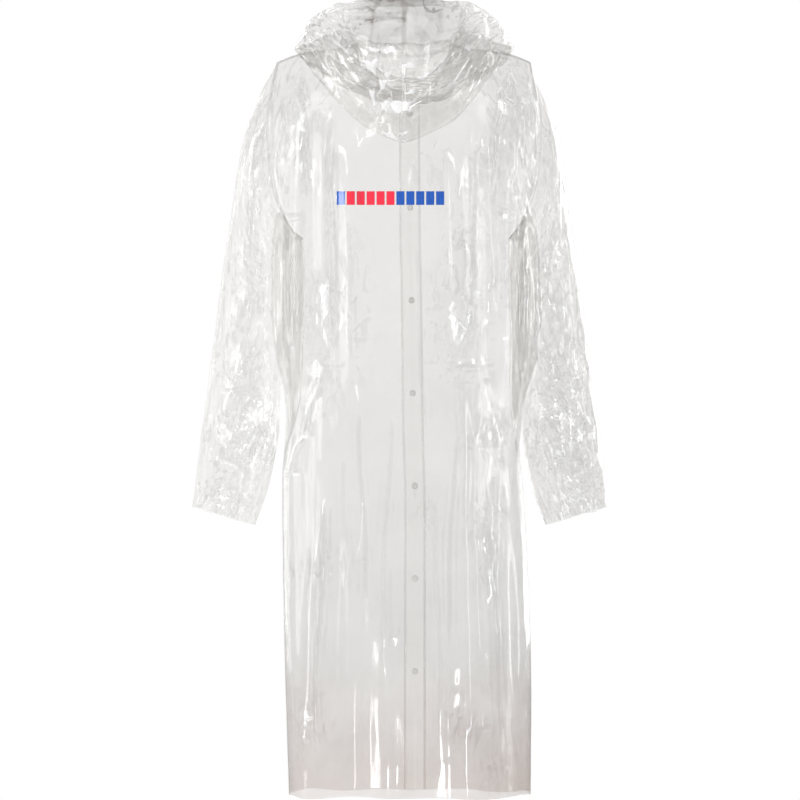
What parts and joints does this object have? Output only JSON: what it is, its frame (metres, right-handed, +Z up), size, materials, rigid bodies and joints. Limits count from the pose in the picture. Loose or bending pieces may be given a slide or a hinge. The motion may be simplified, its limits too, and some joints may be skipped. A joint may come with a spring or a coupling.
{
  "type": "hooded rain poncho coat",
  "caption": "Long clear film rain coat with a hood lying on the back, long sleeves and a snap front, in its rounded worn shape.",
  "frame": {"origin": "middle of the neck at the height of the nape seam, where the shoulders carry the coat", "axes": "+Z up, +Y out of the front of the coat, +X towards the wearer's right; the back faces -Y"},
  "size_m": [0.678, 0.3304, 1.2885],
  "materials": {
    "film": "clear, crinkled polyethylene film",
    "snap": "translucent moulded plastic"
  },
  "bodies": {
    "root": {"back": "film", "front_left": "film", "front_right": "film", "sleeve_left": "film", "sleeve_right": "film", "hood_left": "film", "hood_right": "film", "snap_cap_1": "snap", "snap_cap_2": "snap", "snap_cap_3": "snap", "snap_cap_4": "snap", "snap_cap_5": "snap", "snap_cap_6": "snap", "snap_cap_7": "snap", "snap_stud_1": "snap", "snap_stud_2": "snap", "snap_stud_3": "snap", "snap_stud_4": "snap", "snap_stud_5": "snap", "snap_stud_6": "snap", "snap_stud_7": "snap"}
  },
  "joints": []
}
